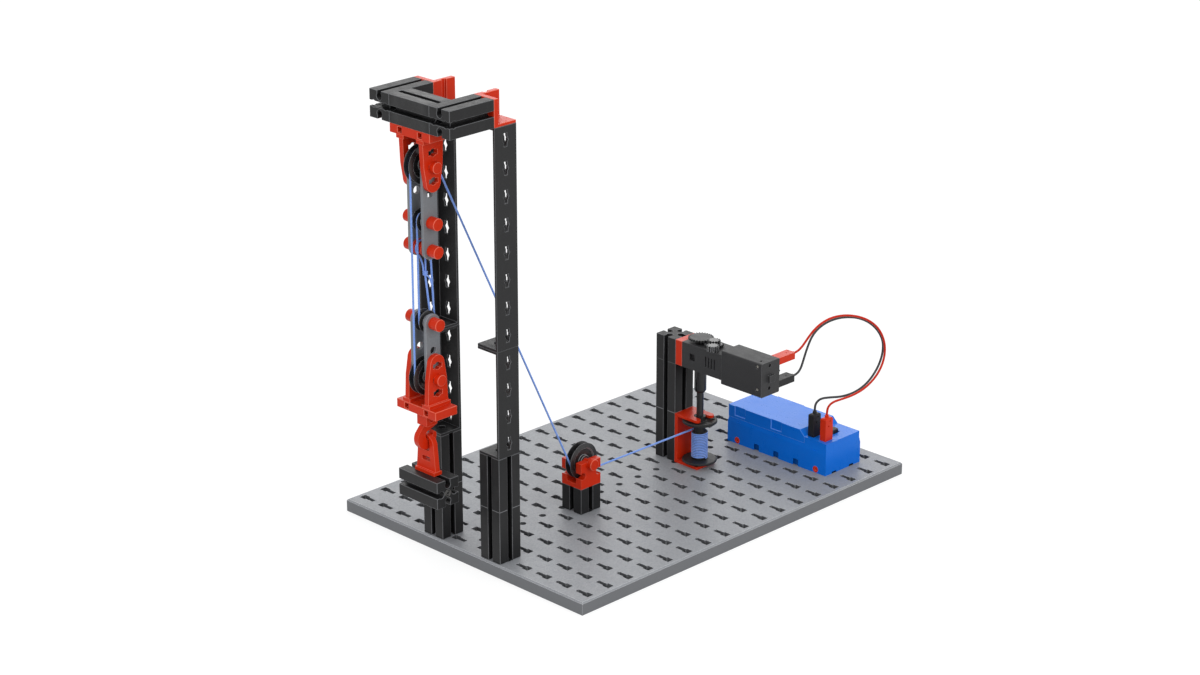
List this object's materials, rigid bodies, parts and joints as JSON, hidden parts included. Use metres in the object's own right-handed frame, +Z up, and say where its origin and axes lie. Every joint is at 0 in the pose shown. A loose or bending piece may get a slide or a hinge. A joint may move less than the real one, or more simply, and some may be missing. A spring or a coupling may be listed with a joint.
{
  "type": "pulley demonstrator",
  "caption": "Tabletop block and tackle on a slotted base: girder frame, travelling pulley block with hook and weight, guide pulley, geared motor winch and battery box.",
  "frame": {"origin": "centre of the base plate's underside", "axes": "+X along the plate's long side, away from the load; +Y along its short side; +Z up"},
  "size_m": [0.2913, 0.186, 0.2622],
  "materials": {
    "battery_wrap": "satin",
    "black_lead": "satin",
    "black_plastic": "satin",
    "blue_plastic": "satin",
    "gear_plastic": "satin",
    "grey_plastic": "satin",
    "grey_plate": "matte",
    "pulley_black": "satin",
    "red_lead": "satin",
    "red_plastic": "satin",
    "rope": "matte"
  },
  "bodies": {
    "frame": {"base_plate": "grey_plate", "near_tower_bricks": "black_plastic", "far_tower_bricks": "black_plastic", "near_short_girder": "black_plastic", "far_short_girder": "black_plastic", "near_long_girder": "black_plastic", "far_long_girder": "black_plastic", "corner_brackets": "red_plastic", "arm_bricks": "black_plastic", "cross_bricks": "black_plastic", "upper_block_plate": "red_plastic", "upper_block_lugs": "red_plastic", "upper_struts": "grey_plastic", "upper_axle": "red_plastic", "upper_pins": "red_plastic", "anchor_spacer": "red_plastic", "guide_brick": "black_plastic", "guide_bearing": "red_plastic", "guide_axle": "red_plastic", "column_bricks": "black_plastic", "column_spacer": "red_plastic", "drum_bracket": "red_plastic", "gearbox_housing": "black_plastic", "motor_case": "black_plastic", "battery_base": "blue_plastic", "battery_cover": "blue_plastic", "battery": "battery_wrap", "battery_pins": "red_plastic", "red_plugs": "red_plastic", "black_plugs": "black_plastic", "red_wire": "red_lead", "black_wire": "black_lead", "rope_spans": "rope"},
    "load": {"lower_block_plate": "red_plastic", "lower_block_lugs": "red_plastic", "lower_struts": "grey_plastic", "lower_axle": "red_plastic", "lower_pin": "red_plastic", "hook_block": "red_plastic", "rope_lower_wraps": "rope", "rope_fall_a": "rope", "rope_fall_b": "rope", "rope_fall_c": "rope", "rope_fall_d": "rope"},
    "hook": {"load_hook": "red_plastic"},
    "weight": {"weight_lug": "red_plastic", "weight_brick": "black_plastic"},
    "upper_large": {"upper_large_pulley": "pulley_black"},
    "upper_small": {"upper_small_pulley": "pulley_black"},
    "lower_large": {"lower_large_pulley": "pulley_black"},
    "lower_small": {"lower_small_pulley": "pulley_black"},
    "guide": {"guide_pulley": "pulley_black"},
    "drum": {"rope_drum": "black_plastic", "winch_shaft": "black_plastic", "coupling_sleeve": "black_plastic", "output_gear": "gear_plastic", "rope_winding": "rope"},
    "idler": {"idler_gear": "gear_plastic"},
    "pinion": {"drive_pinion": "gear_plastic"},
    "switch": {"power_switch": "black_plastic"}
  },
  "joints": [
    {"name": "drum_spin", "type": "hinge", "parent": "frame", "child": "drum", "pos_m": [0.045, -0.0125, 0.0226], "axis": [0, 0, 1], "range_deg": [-649, 2212]},
    {"name": "load_lift", "type": "slide", "parent": "frame", "child": "load", "axis": [0, 0, 1], "range_m": [-0.041, 0.012], "deforming": ["rope_fall_a", "rope_fall_b", "rope_fall_c", "rope_fall_d"]},
    {"name": "upper_large_pulley_spin", "type": "hinge", "parent": "frame", "child": "upper_large", "pos_m": [-0.15, 0, 0.2275], "axis": [0, 1, 0], "range_deg": [-1222, 359]},
    {"name": "upper_small_pulley_spin", "type": "hinge", "parent": "frame", "child": "upper_small", "pos_m": [-0.15, 0, 0.1975], "axis": [0, 1, 0], "range_deg": [-1206, 354]},
    {"name": "lower_small_pulley_spin", "type": "hinge", "parent": "load", "child": "lower_small", "pos_m": [-0.15, 0, 0.1432], "axis": [0, 1, 0], "range_deg": [-604, 178]},
    {"name": "lower_large_pulley_spin", "type": "hinge", "parent": "load", "child": "lower_large", "pos_m": [-0.15, 0, 0.1132], "axis": [0, 1, 0], "range_deg": [-917, 269]},
    {"name": "guide_pulley_spin", "type": "hinge", "parent": "frame", "child": "guide", "pos_m": [-0.045, -0.0075, 0.0357], "axis": [0, 1, 0], "range_deg": [-359, 1222]},
    {"name": "idler_spin", "type": "hinge", "parent": "frame", "child": "idler", "pos_m": [0.045, -0.0225, 0.0836], "axis": [0, 0, 1], "range_deg": [-4593, 1345]},
    {"name": "pinion_spin", "type": "hinge", "parent": "frame", "child": "pinion", "pos_m": [0.03873, -0.02747, 0.0836], "axis": [0, 0, 1], "range_deg": [-2241, 7655]},
    {"name": "hook_swivel", "type": "hinge", "parent": "load", "child": "hook", "pos_m": [-0.15, 0, 0.088], "axis": [0, 0, 1], "range_deg": [-45, 45]},
    {"name": "weight_swing", "type": "hinge", "parent": "hook", "child": "weight", "pos_m": [-0.15, 0, 0.0776], "axis": [1, 0, 0], "range_deg": [-8, 8]},
    {"name": "power_switch_slide", "type": "slide", "parent": "frame", "child": "switch", "axis": [1, 0, 0], "range_m": [-0.003, 0]}
  ],
  "couplings": [
    {"joint": "upper_large_pulley_spin", "follows": "load_lift", "rad_per_m": 519.48},
    {"joint": "upper_small_pulley_spin", "follows": "load_lift", "rad_per_m": 512.82},
    {"joint": "lower_small_pulley_spin", "follows": "load_lift", "rad_per_m": 256.41},
    {"joint": "lower_large_pulley_spin", "follows": "load_lift", "rad_per_m": 389.61},
    {"joint": "guide_pulley_spin", "follows": "load_lift", "rad_per_m": -519.48},
    {"joint": "idler_spin", "follows": "load_lift", "rad_per_m": 1954.8},
    {"joint": "pinion_spin", "follows": "load_lift", "rad_per_m": -3257.9},
    {"joint": "drum_spin", "follows": "load_lift", "rad_per_m": -941.18}
  ]
}
